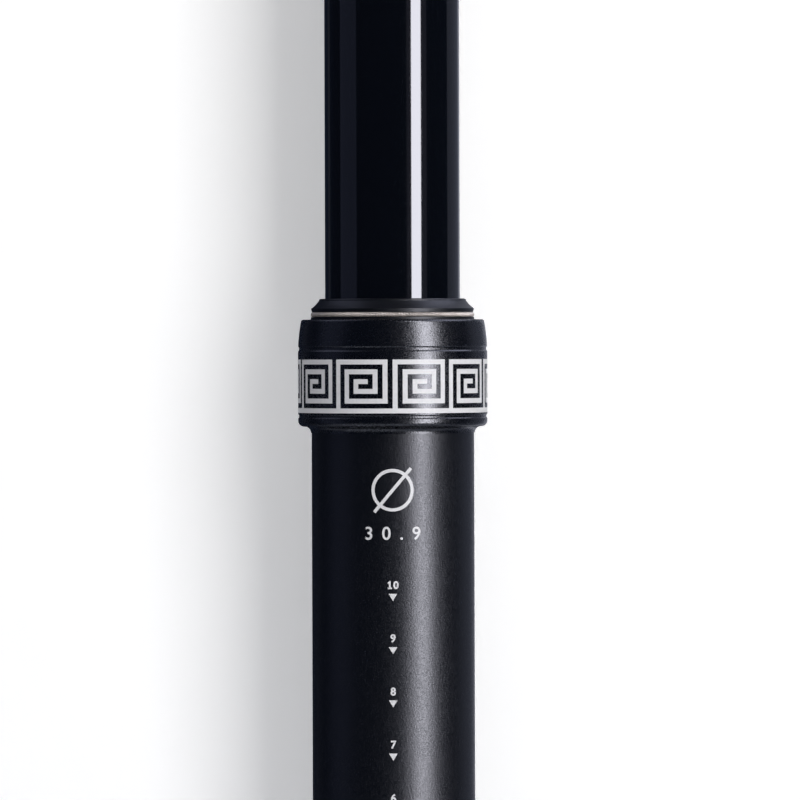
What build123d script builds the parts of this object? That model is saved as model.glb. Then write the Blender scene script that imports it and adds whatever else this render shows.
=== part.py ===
from build123d import *
import math
import os

# A dropper seatpost with a sealed gas cartridge, drawn fully extended. Z runs up the
# post, and z = 0 is where the collar meets the shoulder of the lower tube. The scale
# marks face -Y, the saddle rails run along Y. All sizes are in millimetres.

os.makedirs("parts", exist_ok=True)

# Driving dimensions of the whole post
travel = 150.0
tube_diameter = 30.9
rail_diameter = 7.0
rail_spacing = 44.0
least_overlap = 75.0
tilt_limit = 10.0

# Clearances on the radius, and one overrun for every cut
run_gap = 0.05
seat_gap = 0.03
cut_over = 2.0

# Lower tube: bore, thread under the collar and the three keyways
tube_r = tube_diameter / 2
tube_wall = 1.93
bore_r = tube_r - tube_wall
thread_depth = 0.45
thread_r = tube_r - thread_depth
thread_length = 16.0
end_chamfer = 0.4

# Stanchion, its lower bushing and its guide keys
bushing_wall = 0.7
stanchion_r = bore_r - bushing_wall
stanchion_wall = 2.12
stanchion_bore_r = stanchion_r - stanchion_wall
bushing_groove_depth = 0.25
bushing_slit = 1.0
lower_bushing_height = 12.0
lower_bushing_margin = 2.0
key_count = 3
key_width = 3.0
key_length = 20.0
key_rise = 1.2
key_seat_depth = 1.2
key_gap = 0.1
key_margin = 4.0

# Collar: cove at its foot, rounded lip, two fine grooves and a tapered cap
collar_stand = 2.55
collar_r = tube_r + collar_stand
collar_height = 21.5
cove_foot = 0.15
cove_height = 1.2
lip_round = 1.1
groove_depth = 0.22
lower_groove_z = 3.15
lower_groove_half = 0.4
upper_groove_z = 15.95
upper_groove_half = 0.5
cap_start_step = 0.02
cap_taper = 0.55
cap_bulge = 0.06
cap_corner = 0.5
mouth_chamfer = 0.25
web_thickness = 0.95
web_gap = 0.35

# Wiper seal, with the groove that its garter spring lies in
wiper_wall = 2.73
wiper_r = stanchion_r + wiper_wall
wiper_stand = 3.95
spring_room_z = 0.93
spring_r = 0.47
spring_sink = 0.05
wire_r = 0.14
curl_count = 96
spring_ends_angle = 3.0
groove_lip_r = 0.2
lip_inset = 0.05
lip_height = 0.65
lip_edge = 0.06
flare_height = 1.3
flare_foot = 0.3
nose_wall = 1.33
flare_sag = 0.1
nose_round = 0.4
wiper_land = 0.4
wiper_hollow = 0.55
oil_lip_rise = 1.6
dust_lip_drop = 0.5

# Upper bushing, held between the collar's web and the tube
upper_bushing_height = 24.0

# Head: spigot in the stanchion, neck, cradle and the two bolt ears
shoulder_room = 2.55
spigot_length = 18.0
rod_land = 3.0
web_height = 4.0
rail_rise = 30.0
cradle_r = 17.5
cradle_half = 11.5
head_side = 0.68
head_corner = 4.0
flare_stand = 4.58
flare_rise = 10.5
ear_rise = 8.0
ear_height = 6.0
ear_width = 15.0
ear_end = 7.0
bolt_room = 2.93
screw_head_r = 5.0
screw_head_height = 4.5
screw_sink_gap = 0.5

# Saddle clamp: rail saddles, webs, barrel nuts, bolts and washers
cradle_gap = 0.1
shoe_overhang = 1.1
lower_overhang = 2.5
saddle_half_length = 18.0
saddle_wall = 2.9
saddle_chamfer = 0.9
web_half_length = 13.0
web_drop = 10.0
upper_web_rise = 4.4
lower_top_drop = 7.0
clamp_split = 0.6
bar_r = 6.2
bar_half_width = 11.0
bar_gap = 0.6
web_round = 1.5
nut_r = 4.5
nut_inset = 0.5
bolt_r = 2.5
bolt_head_r = 4.25
bolt_head_height = 5.0
bolt_tip_rise = 5.5
bolt_side_gap = 0.4
socket_flats = 4.0
socket_depth = 2.6
washer_r = 4.9
washer_height = 1.2
washer_gap = 0.05

# Gas cartridge: two tubes, rod, piston, guide, seals and the valve block
cartridge_side = 1.2
outer_wall = 1.0
gallery = 0.7
inner_wall = 0.8
rod_side = 2.5
rod_shoulder = 1.5
rod_hole_depth = 15.0
rod_screw_length = 16.0
cartridge_room = 2.0
cap_height = 3.0
rod_seal_height = 4.0
seal_vee = 1.6
guide_height = 14.0
guide_spigot = 4.0
ring_section_r = 0.8
top_out_gap = 0.4
top_out_height = 2.0
piston_height = 9.0
piston_gap = 0.07
piston_seal_height = 2.4
piston_seal_depth = 1.35
piston_nut_height = 5.0
piston_nut_wall = 1.5
stub_end = 1.1
port_count = 4
port_r = 0.8
port_drop = 1.5
block_spigot = 4.0
block_gallery = 3.3
block_gallery_r = 2.9
stem_r = 6.0
stem_length = 7.0
pin_r = 2.0
poppet_r = 3.6
poppet_height = 2.5
poppet_room = 2.5
stanchion_stop_gap = 0.45
bumper_height = 1.5
bumper_wall = 1.6

# Actuator at the foot: housing, lever, pivot pin and cable anchor
housing_thread = 10.0
flange_step = 0.45
flange_height = 2.5
fork_step = 2.15
fork_edge = 0.8
cavity_height = 13.0
cavity_back = 6.5
floor_height = 7.0
lever_half_width = 4.0
lever_side_gap = 0.5
lever_hub_r = 2.9
nose_arm = 3.5
nose_rise = 1.8
nose_tip_r = 1.5
nose_gap = 0.05
pin_drop = 2.0
pivot_offset = 3.0
pivot_r = 1.5
pivot_inset = 1.3
anchor_r = 2.5
anchor_boss_r = 3.9
anchor_half_length = 3.8
anchor_slot_half = 1.4
anchor_screw_r = 1.25
anchor_screw_stand = 0.7
wire_hole_r = 0.8
cable_socket_r = 2.6
cable_socket_wall = 1.5
cable_socket_depth = 5.0
cable_exit_r = 1.0

# Radii and places across the post, worked out from the sizes above
outer_r = stanchion_bore_r - cartridge_side
outer_bore_r = outer_r - outer_wall
inner_outer_r = outer_bore_r - gallery
inner_bore_r = inner_outer_r - inner_wall
rod_r = inner_bore_r - rod_side
rod_thread_r = rod_r - rod_shoulder
wiper_hollow_r = stanchion_r + wiper_hollow
contact_r = stanchion_r + seat_gap
head_half_width = stanchion_r + head_side
bolt_offset = stanchion_r + bolt_room + bolt_head_r
lower_half_length = cradle_half + lower_overhang
nut_half_length = bar_half_width - nut_inset
flange_r = tube_r - flange_step
fork_r = tube_r - fork_step
pivot_y = -pivot_offset
anchor_y = cable_socket_wall + cable_socket_r - fork_r
pivot_half_length = fork_r - pivot_inset

# Heights, worked out from the sizes above
wiper_seat_z = thread_length + seat_gap + web_thickness
seal_top_z = collar_height + wiper_stand
shoulder_z = seal_top_z + travel + shoulder_room
rail_z = shoulder_z + rail_rise
stanchion_foot_z = seal_top_z - least_overlap
housing_top_z = stanchion_foot_z - travel - stanchion_stop_gap - bumper_height
tube_foot_z = housing_top_z - housing_thread
cavity_top_z = tube_foot_z
cavity_floor_z = cavity_top_z - cavity_height
housing_foot_z = cavity_floor_z - floor_height
pin_foot_z = cavity_top_z - pin_drop
pivot_z = pin_foot_z - nose_gap - nose_tip_r - nose_rise
rod_top_z = shoulder_z + rod_land
spigot_foot_z = shoulder_z - spigot_length
cartridge_top_z = spigot_foot_z - travel - cartridge_room
cap_foot_z = cartridge_top_z - cap_height
guide_top_z = cap_foot_z - rod_seal_height
inner_top_z = guide_top_z - guide_height
guide_foot_z = inner_top_z - guide_spigot
piston_top_z = guide_foot_z - top_out_gap - top_out_height
piston_foot_z = piston_top_z - piston_height
nut_foot_z = piston_foot_z - piston_nut_height
rod_foot_z = nut_foot_z - stub_end
block_top_z = rod_foot_z - travel - poppet_room - poppet_height
inner_foot_z = block_top_z - block_spigot
gallery_foot_z = inner_foot_z - block_gallery
spring_z = collar_height + spring_room_z


def on_circle(centre_r, centre_z, radius, angle):
    """A point on a circle in a turned section, with the angle in degrees."""
    turn = math.radians(angle)
    return (centre_r + radius * math.cos(turn), centre_z + radius * math.sin(turn))


# The lower tube slides into the frame. Its bore guides the stanchion, and three
# keyways run down it from its open top.
with BuildPart() as lower_tube:
    with BuildSketch(Plane.XZ):
        with BuildLine():
            Polyline(
                (bore_r, tube_foot_z),
                (tube_r - end_chamfer, tube_foot_z),
                (tube_r, tube_foot_z + end_chamfer),
                (tube_r, 0),
                (thread_r, 0),
                (thread_r, thread_length - end_chamfer),
                (thread_r - end_chamfer, thread_length),
                (bore_r, thread_length),
                close=True,
            )
        make_face()
    revolve(axis=Axis.Z)
    keyway_r = stanchion_r + key_rise + key_gap
    keyway_width = key_width + 2 * key_gap
    with BuildSketch(Plane.XY.offset(tube_foot_z)):
        with PolarLocations(keyway_r / 2, key_count):
            Rectangle(keyway_r, keyway_width)
    extrude(amount=thread_length - tube_foot_z, mode=Mode.SUBTRACT)
lower_tube.part.label = "lower_tube"
export_step(lower_tube.part, "parts/lower_tube.step")

# The collar screws over the top of the lower tube, seats on its shoulder and holds
# the wiper seal and the upper bushing.
with BuildPart() as collar:
    foot_r = tube_r + cove_foot
    mouth_r = wiper_r + seat_gap
    cap_start_z = upper_groove_z + upper_groove_half
    cap_end_z = collar_height - cap_corner
    cap_end_r = collar_r - cap_taper
    cap_middle_r = (collar_r + cap_end_r) / 2 + cap_bulge
    with BuildSketch(Plane.XZ):
        with BuildLine():
            Line((thread_r + seat_gap, 0), (foot_r, 0))
            ThreePointArc(
                (foot_r, 0),
                on_circle(foot_r + cove_height, 0, cove_height, 135),
                (foot_r + cove_height, cove_height),
            )
            Line((foot_r + cove_height, cove_height), (collar_r - lip_round, cove_height))
            ThreePointArc(
                (collar_r - lip_round, cove_height),
                on_circle(collar_r - lip_round, cove_height + lip_round, lip_round, -45),
                (collar_r, cove_height + lip_round),
            )
            Line((collar_r, cove_height + lip_round), (collar_r, lower_groove_z - lower_groove_half))
            ThreePointArc(
                (collar_r, lower_groove_z - lower_groove_half),
                (collar_r - groove_depth, lower_groove_z),
                (collar_r, lower_groove_z + lower_groove_half),
            )
            Line(
                (collar_r, lower_groove_z + lower_groove_half),
                (collar_r, upper_groove_z - upper_groove_half),
            )
            ThreePointArc(
                (collar_r, upper_groove_z - upper_groove_half),
                (collar_r - groove_depth, upper_groove_z),
                (collar_r - cap_start_step, cap_start_z),
            )
            ThreePointArc(
                (collar_r - cap_start_step, cap_start_z),
                (cap_middle_r, (cap_start_z + cap_end_z) / 2),
                (cap_end_r, cap_end_z),
            )
            ThreePointArc(
                (cap_end_r, cap_end_z),
                on_circle(cap_end_r - cap_corner, cap_end_z, cap_corner, 45),
                (cap_end_r - cap_corner, collar_height),
            )
            Polyline(
                (cap_end_r - cap_corner, collar_height),
                (mouth_r + mouth_chamfer, collar_height),
                (mouth_r, collar_height - mouth_chamfer),
                (mouth_r, wiper_seat_z),
                (stanchion_r + web_gap, wiper_seat_z),
                (stanchion_r + web_gap, thread_length + seat_gap),
                (thread_r + seat_gap, thread_length + seat_gap),
                (thread_r + seat_gap, 0),
            )
        make_face()
    revolve(axis=Axis.Z)
collar.part.label = "collar"
export_step(collar.part, "parts/collar.step")

# The rubber wiper seal stands out of the collar's mouth. A sharp flared lip shades
# the groove of its garter spring, and two inner lips touch the stanchion.
with BuildPart() as wiper_seal:
    spring_line_r = wiper_r - spring_r + spring_sink
    room_r = spring_r + run_gap
    room_edge_r = spring_line_r + groove_lip_r
    room_half = math.sqrt(room_r**2 - groove_lip_r**2)
    lip_foot_z = spring_z + room_half
    tip_z = lip_foot_z + lip_height
    lip_reach = wiper_r - lip_inset
    nose_r = stanchion_r + nose_wall
    nose_z = seal_top_z - nose_round
    middle_z = (wiper_seat_z + seal_top_z) / 2
    with BuildSketch(Plane.XZ):
        with BuildLine():
            Polyline(
                (wiper_hollow_r, wiper_seat_z),
                (wiper_r, wiper_seat_z),
                (wiper_r, spring_z - room_half),
                (room_edge_r, spring_z - room_half),
            )
            ThreePointArc(
                (room_edge_r, spring_z - room_half),
                (spring_line_r - room_r, spring_z),
                (room_edge_r, lip_foot_z),
            )
            Polyline((room_edge_r, lip_foot_z), (lip_reach, tip_z), (lip_reach - lip_edge, tip_z + lip_edge))
            ThreePointArc(
                (lip_reach - lip_edge, tip_z + lip_edge),
                ((lip_reach + nose_r) / 2 - flare_sag, tip_z + flare_height / 2),
                (nose_r, tip_z + flare_height),
            )
            Line((nose_r, tip_z + flare_height), (nose_r - flare_foot / 2, nose_z))
            ThreePointArc(
                (nose_r - flare_foot / 2, nose_z),
                on_circle(nose_r - flare_foot / 2 - nose_round, nose_z, nose_round, 45),
                (nose_r - flare_foot / 2 - nose_round, seal_top_z),
            )
            Polyline(
                (nose_r - flare_foot / 2 - nose_round, seal_top_z),
                (wiper_hollow_r, seal_top_z),
                (contact_r, seal_top_z - dust_lip_drop),
                (contact_r, seal_top_z - dust_lip_drop - wiper_land),
                (wiper_hollow_r, seal_top_z - 2 * dust_lip_drop - wiper_land),
                (wiper_hollow_r, middle_z),
                (contact_r, wiper_seat_z + oil_lip_rise + wiper_land),
                (contact_r, wiper_seat_z + oil_lip_rise),
                (wiper_hollow_r, wiper_seat_z + oil_lip_rise - wiper_land),
                (wiper_hollow_r, wiper_seat_z),
            )
        make_face()
    revolve(axis=Axis.Z)
wiper_seal.part.label = "wiper_seal"
export_step(wiper_seal.part, "parts/wiper_seal.step")

# The garter spring is one coil of fine wire laid round the seal. Its centre line
# winds about a ring, and each quarter turn is a pair of tangent arcs.
coil_r = spring_r - wire_r


def spring_point(curl):
    """The wire's centre after so many curls."""
    ring_angle = math.radians(spring_ends_angle + (360 - 2 * spring_ends_angle) * curl / curl_count)
    reach = spring_line_r + coil_r * math.cos(2 * math.pi * curl)
    rise = spring_z + coil_r * math.sin(2 * math.pi * curl)
    return Vector(reach * math.cos(ring_angle), reach * math.sin(ring_angle), rise)


def spring_tangent(curl):
    """The wire's direction after so many curls."""
    step = 1 / (360 * curl_count)
    return (spring_point(curl + step) - spring_point(curl - step)).normalized()


def tangent_arcs(start, start_way, end, end_way):
    """Two arcs that leave start and reach end in the given directions."""
    chord = end - start
    ways = start_way + end_way
    square = 2 * (1 - start_way.dot(end_way))
    along = chord.dot(ways)
    reach = (math.sqrt(along**2 + square * chord.dot(chord)) - along) / square
    corner_in = start + start_way * reach
    corner_out = end - end_way * reach
    middle = (corner_in + corner_out) * 0.5
    first = Edge.make_tangent_arc(start, start_way, middle)
    second = Edge.make_tangent_arc(middle, corner_out - corner_in, end)
    return [first, second]


spring_edges = []
for quarter_turn in range(4 * curl_count):
    spring_edges += tangent_arcs(
        spring_point(quarter_turn / 4),
        spring_tangent(quarter_turn / 4),
        spring_point((quarter_turn + 1) / 4),
        spring_tangent((quarter_turn + 1) / 4),
    )
spring_path = Wire(spring_edges)
neighbour_pitch = (spring_point(1) - spring_point(0)).length
inner_pitch = neighbour_pitch * (spring_line_r - coil_r) / (spring_line_r + coil_r)
print("garter spring gap to itself", round(inner_pitch - 2 * wire_r, 3), "mm")
with BuildPart() as garter_spring:
    with BuildSketch(Plane(origin=spring_point(0), z_dir=spring_tangent(0))):
        Circle(wire_r)
    sweep(path=spring_path)
garter_spring.part.label = "garter_spring"
export_step(garter_spring.part, "parts/garter_spring.step")

# The upper bushing is a split sleeve between the tube's bore and the stanchion.
with BuildPart() as upper_bushing:
    with BuildSketch(Plane.XY.offset(thread_length - upper_bushing_height)):
        Circle(bore_r - seat_gap)
        Circle(stanchion_r + run_gap, mode=Mode.SUBTRACT)
        with Locations((stanchion_r, 0)):
            Rectangle(2 * (bore_r - stanchion_r), bushing_slit, mode=Mode.SUBTRACT)
    extrude(amount=upper_bushing_height)
upper_bushing.part.label = "upper_bushing"
export_step(upper_bushing.part, "parts/upper_bushing.step")

# The stanchion carries the lower bushing in a shallow groove at its foot, and the
# guide keys in three pockets above it.
bushing_foot_z = stanchion_foot_z + lower_bushing_margin
bushing_top_z = bushing_foot_z + lower_bushing_height
key_foot_z = bushing_top_z + key_margin
key_floor_r = stanchion_r - key_seat_depth
with BuildPart() as stanchion:
    with BuildSketch(Plane.XY.offset(stanchion_foot_z)):
        Circle(stanchion_r)
        Circle(stanchion_bore_r, mode=Mode.SUBTRACT)
    extrude(amount=shoulder_z - stanchion_foot_z)
    chamfer(stanchion.faces().sort_by(Axis.Z)[0].outer_wire().edges(), end_chamfer)
    with BuildSketch(Plane.XY.offset(bushing_foot_z)):
        Circle(stanchion_r + cut_over)
        Circle(stanchion_r - bushing_groove_depth, mode=Mode.SUBTRACT)
    extrude(amount=lower_bushing_height, mode=Mode.SUBTRACT)
    for key in range(key_count):
        with BuildSketch(Plane.YZ.rotated((0, 0, 360 * key / key_count)).offset(key_floor_r)):
            with Locations((0, key_foot_z + key_length / 2)):
                SlotOverall(key_length + 2 * seat_gap, key_width + 2 * seat_gap, rotation=90)
        extrude(amount=key_seat_depth + cut_over, mode=Mode.SUBTRACT)
stanchion.part.label = "stanchion"
export_step(stanchion.part, "parts/stanchion.step")

# Each brass guide key sits in its pocket and runs in a keyway of the lower tube.
for key in range(key_count):
    with BuildPart() as guide_key:
        with BuildSketch(Plane.YZ.rotated((0, 0, 360 * key / key_count)).offset(key_floor_r)):
            with Locations((0, key_foot_z + key_length / 2)):
                SlotOverall(key_length, key_width, rotation=90)
        extrude(amount=key_seat_depth + key_rise)
    guide_key.part.label = f"guide_key_{key + 1}"
    export_step(guide_key.part, f"parts/guide_key_{key + 1}.step")

# The lower bushing is a split ring in the stanchion's groove, and slides in the bore.
with BuildPart() as lower_bushing:
    with BuildSketch(Plane.XY.offset(bushing_foot_z + seat_gap)):
        Circle(bore_r - run_gap)
        Circle(stanchion_r - bushing_groove_depth + seat_gap, mode=Mode.SUBTRACT)
        with Locations((stanchion_r, 0)):
            Rectangle(2 * (bore_r - stanchion_r + bushing_groove_depth), bushing_slit, mode=Mode.SUBTRACT)
    extrude(amount=lower_bushing_height - 2 * seat_gap)
lower_bushing.part.label = "lower_bushing"
export_step(lower_bushing.part, "parts/lower_bushing.step")

# The forged head is bonded into the stanchion. Its neck flares into a block with a
# round cradle on top, and an ear stands out in front and behind for each bolt.
ear_foot_z = shoulder_z + ear_rise
flare_z = shoulder_z + flare_rise
flare_r = stanchion_r + flare_stand
web_top_z = rod_top_z + web_height
head_top_z = rail_z - math.sqrt(cradle_r**2 - cradle_half**2)
slot_room = bolt_r + bolt_side_gap
nut_swing = bolt_offset * (1 - math.cos(math.radians(tilt_limit)))
with BuildPart() as head:
    with BuildSketch(Plane.XZ):
        with BuildLine():
            Line((0, shoulder_z), (stanchion_r, shoulder_z))
            ThreePointArc(
                (stanchion_r, shoulder_z),
                ((3 * stanchion_r + flare_r) / 4, (shoulder_z + flare_z) / 2),
                (flare_r, flare_z),
            )
            Polyline((flare_r, flare_z), (flare_r, head_top_z), (0, head_top_z), (0, shoulder_z))
        make_face()
    revolve(axis=Axis.Z)
    with BuildSketch(Plane.XY.offset(shoulder_z)):
        RectangleRounded(2 * head_half_width, 2 * cradle_half + head_corner, head_corner)
    extrude(amount=head_top_z - shoulder_z, mode=Mode.INTERSECT)
    with BuildSketch(Plane.XY.offset(ear_foot_z)):
        SlotOverall(2 * (bolt_offset + ear_end), ear_width, rotation=90)
    extrude(amount=ear_height)
    with BuildSketch(Plane.YZ.offset(-head_half_width - cut_over)):
        with Locations((0, rail_z)):
            Circle(cradle_r)
    extrude(amount=2 * (head_half_width + cut_over), mode=Mode.SUBTRACT)
    with BuildSketch(Plane.XY.offset(ear_foot_z - cut_over)):
        with GridLocations(0, 2 * bolt_offset, 1, 2):
            SlotOverall(2 * (slot_room + nut_swing), 2 * slot_room, rotation=90)
    extrude(amount=ear_height + 2 * cut_over, mode=Mode.SUBTRACT)
    with BuildSketch(Plane.XY.offset(spigot_foot_z)):
        Circle(stanchion_bore_r - seat_gap)
    extrude(amount=spigot_length)
    with BuildSketch(Plane.XY.offset(spigot_foot_z)):
        Circle(rod_r + seat_gap)
    extrude(amount=rod_top_z - spigot_foot_z, mode=Mode.SUBTRACT)
    with BuildSketch(Plane.XY.offset(rod_top_z)):
        Circle(rod_thread_r + run_gap)
    extrude(amount=web_height, mode=Mode.SUBTRACT)
    with BuildSketch(Plane.XY.offset(web_top_z)):
        Circle(screw_head_r + screw_sink_gap)
    extrude(amount=rail_z - web_top_z, mode=Mode.SUBTRACT)
head.part.label = "head"
export_step(head.part, "parts/head.step")

# The rod screw draws the cartridge's rod up against the head's web.
with BuildPart() as rod_screw:
    with BuildSketch(Plane.XY.offset(web_top_z - rod_screw_length)):
        Circle(rod_thread_r)
    extrude(amount=rod_screw_length)
    with BuildSketch(Plane.XY.offset(web_top_z)):
        Circle(screw_head_r)
    extrude(amount=screw_head_height)
    with BuildSketch(Plane.XY.offset(web_top_z + screw_head_height - socket_depth)):
        RegularPolygon(socket_flats / 2, 6, major_radius=False)
    extrude(amount=socket_depth, mode=Mode.SUBTRACT)
rod_screw.part.label = "rod_screw"
export_step(rod_screw.part, "parts/rod_screw.step")

# The lower clamp rocks in the head's cradle. Webs join its shoe to the two half-round
# saddles under the rails.
cradle_shoe_r = cradle_r - cradle_gap
lower_top_z = rail_z - lower_top_drop
web_foot_z = rail_z - web_drop
saddle_r = rail_diameter / 2 + saddle_wall
shoe_half = cradle_half + shoe_overhang
shoe_side_z = rail_z - math.sqrt(cradle_shoe_r**2 - shoe_half**2)
with BuildPart() as lower_clamp:
    with BuildSketch(Plane.XZ.offset(-saddle_half_length)):
        with Locations((-rail_spacing / 2, rail_z), (rail_spacing / 2, rail_z)):
            Circle(saddle_r)
    extrude(amount=2 * saddle_half_length)
    chamfer(lower_clamp.edges().filter_by(GeomType.CIRCLE), saddle_chamfer)
    with BuildSketch(Plane.XY.offset(web_foot_z)):
        RectangleRounded(rail_spacing, 2 * web_half_length, web_round)
    extrude(amount=web_drop - clamp_split)
    with BuildSketch(Plane.XY.offset(lower_top_z)):
        Rectangle(2 * (bar_half_width + bar_gap), 2 * (web_half_length + cut_over))
    extrude(amount=web_drop, mode=Mode.SUBTRACT)
    with BuildSketch(Plane.YZ.offset(-head_half_width)):
        with BuildLine():
            Polyline(
                (shoe_half, shoe_side_z),
                (lower_half_length, web_foot_z),
                (lower_half_length, lower_top_z),
                (-lower_half_length, lower_top_z),
                (-lower_half_length, web_foot_z),
                (-shoe_half, shoe_side_z),
            )
            ThreePointArc(
                (-shoe_half, shoe_side_z),
                (0, rail_z - cradle_shoe_r),
                (shoe_half, shoe_side_z),
            )
        make_face()
    extrude(amount=2 * head_half_width)
    with BuildSketch(Plane.XZ.offset(-saddle_half_length - cut_over)):
        with Locations((-rail_spacing / 2, rail_z), (rail_spacing / 2, rail_z)):
            Circle(rail_diameter / 2)
    extrude(amount=2 * (saddle_half_length + cut_over), mode=Mode.SUBTRACT)
    with BuildSketch(Plane.XY.offset(rail_z - clamp_split)):
        Rectangle(2 * (rail_spacing + saddle_r), 2 * (saddle_half_length + cut_over))
    extrude(amount=saddle_r + cut_over, mode=Mode.SUBTRACT)
lower_clamp.part.label = "lower_clamp"
export_step(lower_clamp.part, "parts/lower_clamp.step")

# The upper clamp is a bar that holds both barrel nuts. Webs join it to a half-round
# saddle over each rail.
tilt = math.radians(tilt_limit)
nut_slot_room = bolt_r / math.cos(tilt) + bar_r * math.tan(tilt)
with BuildPart() as upper_clamp:
    with BuildSketch(Plane.XZ.offset(-saddle_half_length)):
        with Locations((-rail_spacing / 2, rail_z), (rail_spacing / 2, rail_z)):
            Circle(saddle_r)
    extrude(amount=2 * saddle_half_length)
    chamfer(upper_clamp.edges().filter_by(GeomType.CIRCLE), saddle_chamfer)
    with BuildSketch(Plane.XY.offset(rail_z)):
        RectangleRounded(rail_spacing, 2 * web_half_length, web_round)
    extrude(amount=upper_web_rise)
    with BuildSketch(Plane.XZ.offset(-saddle_half_length - cut_over)):
        with Locations((-rail_spacing / 2, rail_z), (rail_spacing / 2, rail_z)):
            Circle(rail_diameter / 2)
    extrude(amount=2 * (saddle_half_length + cut_over), mode=Mode.SUBTRACT)
    with BuildSketch(Plane.XY.offset(rail_z + clamp_split)):
        Rectangle(2 * (rail_spacing + saddle_r), 2 * (saddle_half_length + cut_over))
    extrude(amount=-saddle_r - cut_over, mode=Mode.SUBTRACT)
    with BuildSketch(Plane.YZ.offset(-bar_half_width)):
        with Locations((0, rail_z)):
            SlotCenterToCenter(2 * bolt_offset, 2 * bar_r)
    extrude(amount=2 * bar_half_width)
    with BuildSketch(Plane.YZ.offset(-bar_half_width - cut_over)):
        with Locations((-bolt_offset, rail_z), (bolt_offset, rail_z)):
            Circle(nut_r + run_gap)
    extrude(amount=2 * (bar_half_width + cut_over), mode=Mode.SUBTRACT)
    with BuildSketch(Plane.XY.offset(rail_z - bar_r - cut_over)):
        with GridLocations(0, 2 * bolt_offset, 1, 2):
            SlotOverall(2 * (nut_slot_room + bolt_side_gap), 2 * slot_room, rotation=90)
    extrude(amount=2 * (bar_r + cut_over), mode=Mode.SUBTRACT)
upper_clamp.part.label = "upper_clamp"
export_step(upper_clamp.part, "parts/upper_clamp.step")

# A barrel nut, a bolt and a washer stand at the front and at the rear of the head.
washer_top_z = ear_foot_z - washer_gap
bolt_seat_z = washer_top_z - washer_height
bolt_tip_z = rail_z + bolt_tip_rise
for end_name, end_y in (("front", -bolt_offset), ("rear", bolt_offset)):
    with BuildPart() as barrel_nut:
        with BuildSketch(Plane.YZ.offset(-nut_half_length)):
            with Locations((end_y, rail_z)):
                Circle(nut_r)
        extrude(amount=2 * nut_half_length)
        chamfer(barrel_nut.edges().filter_by(GeomType.CIRCLE), end_chamfer)
        with BuildSketch(Plane.XY.offset(rail_z - nut_r - cut_over)):
            with Locations((0, end_y)):
                Circle(bolt_r + nut_swing + run_gap)
        extrude(amount=2 * (nut_r + cut_over), mode=Mode.SUBTRACT)
    barrel_nut.part.label = f"barrel_nut_{end_name}"
    export_step(barrel_nut.part, f"parts/barrel_nut_{end_name}.step")
    with BuildPart() as clamp_bolt:
        with BuildSketch(Plane.XY.offset(bolt_seat_z)):
            with Locations((0, end_y)):
                Circle(bolt_r)
        extrude(amount=bolt_tip_z - bolt_seat_z)
        with BuildSketch(Plane.XY.offset(bolt_seat_z - bolt_head_height)):
            with Locations((0, end_y)):
                Circle(bolt_head_r)
        extrude(amount=bolt_head_height)
        chamfer(clamp_bolt.edges().filter_by(GeomType.CIRCLE).sort_by(Axis.Z)[0], end_chamfer)
        chamfer(clamp_bolt.edges().filter_by(GeomType.CIRCLE).sort_by(Axis.Z)[-1], end_chamfer)
        with BuildSketch(Plane.XY.offset(bolt_seat_z - bolt_head_height)):
            with Locations((0, end_y)):
                RegularPolygon(socket_flats / 2, 6, major_radius=False)
        extrude(amount=socket_depth, mode=Mode.SUBTRACT)
    clamp_bolt.part.label = f"clamp_bolt_{end_name}"
    export_step(clamp_bolt.part, f"parts/clamp_bolt_{end_name}.step")
    with BuildPart() as bolt_washer:
        with BuildSketch(Plane.XY.offset(bolt_seat_z)):
            with Locations((0, end_y)):
                Circle(washer_r)
                Circle(bolt_r + seat_gap, mode=Mode.SUBTRACT)
        extrude(amount=washer_height)
    bolt_washer.part.label = f"bolt_washer_{end_name}"
    export_step(bolt_washer.part, f"parts/bolt_washer_{end_name}.step")

# The piston rod hangs from the head. Its turned-down foot carries the piston.
with BuildPart() as piston_rod:
    with BuildSketch(Plane.XY.offset(piston_top_z)):
        Circle(rod_r)
    extrude(amount=rod_top_z - seat_gap - piston_top_z)
    with BuildSketch(Plane.XY.offset(rod_foot_z)):
        Circle(rod_thread_r)
    extrude(amount=piston_top_z - rod_foot_z)
    with BuildSketch(Plane.XY.offset(rod_top_z - rod_hole_depth)):
        Circle(rod_thread_r + seat_gap)
    extrude(amount=rod_hole_depth, mode=Mode.SUBTRACT)
piston_rod.part.label = "piston_rod"
export_step(piston_rod.part, "parts/piston_rod.step")

# The piston slides in the cartridge's inner tube, with its seal in a groove.
seal_middle_z = piston_foot_z + piston_height / 2
piston_r = inner_bore_r - piston_gap
seal_floor_r = piston_r - piston_seal_depth
with BuildPart() as piston:
    with BuildSketch(Plane.XY.offset(piston_foot_z)):
        Circle(piston_r)
        Circle(rod_thread_r + seat_gap, mode=Mode.SUBTRACT)
    extrude(amount=piston_height - seat_gap)
    with BuildSketch(Plane.XY.offset(seal_middle_z - piston_seal_height / 2)):
        Circle(inner_bore_r)
        Circle(seal_floor_r, mode=Mode.SUBTRACT)
    extrude(amount=piston_seal_height, mode=Mode.SUBTRACT)
piston.part.label = "piston"
export_step(piston.part, "parts/piston.step")

with BuildPart() as piston_seal:
    with BuildSketch(Plane.XY.offset(seal_middle_z - piston_seal_height / 2 + seat_gap)):
        Circle(inner_bore_r - run_gap)
        Circle(seal_floor_r + seat_gap, mode=Mode.SUBTRACT)
    extrude(amount=piston_seal_height - 2 * seat_gap)
piston_seal.part.label = "piston_seal"
export_step(piston_seal.part, "parts/piston_seal.step")

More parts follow.
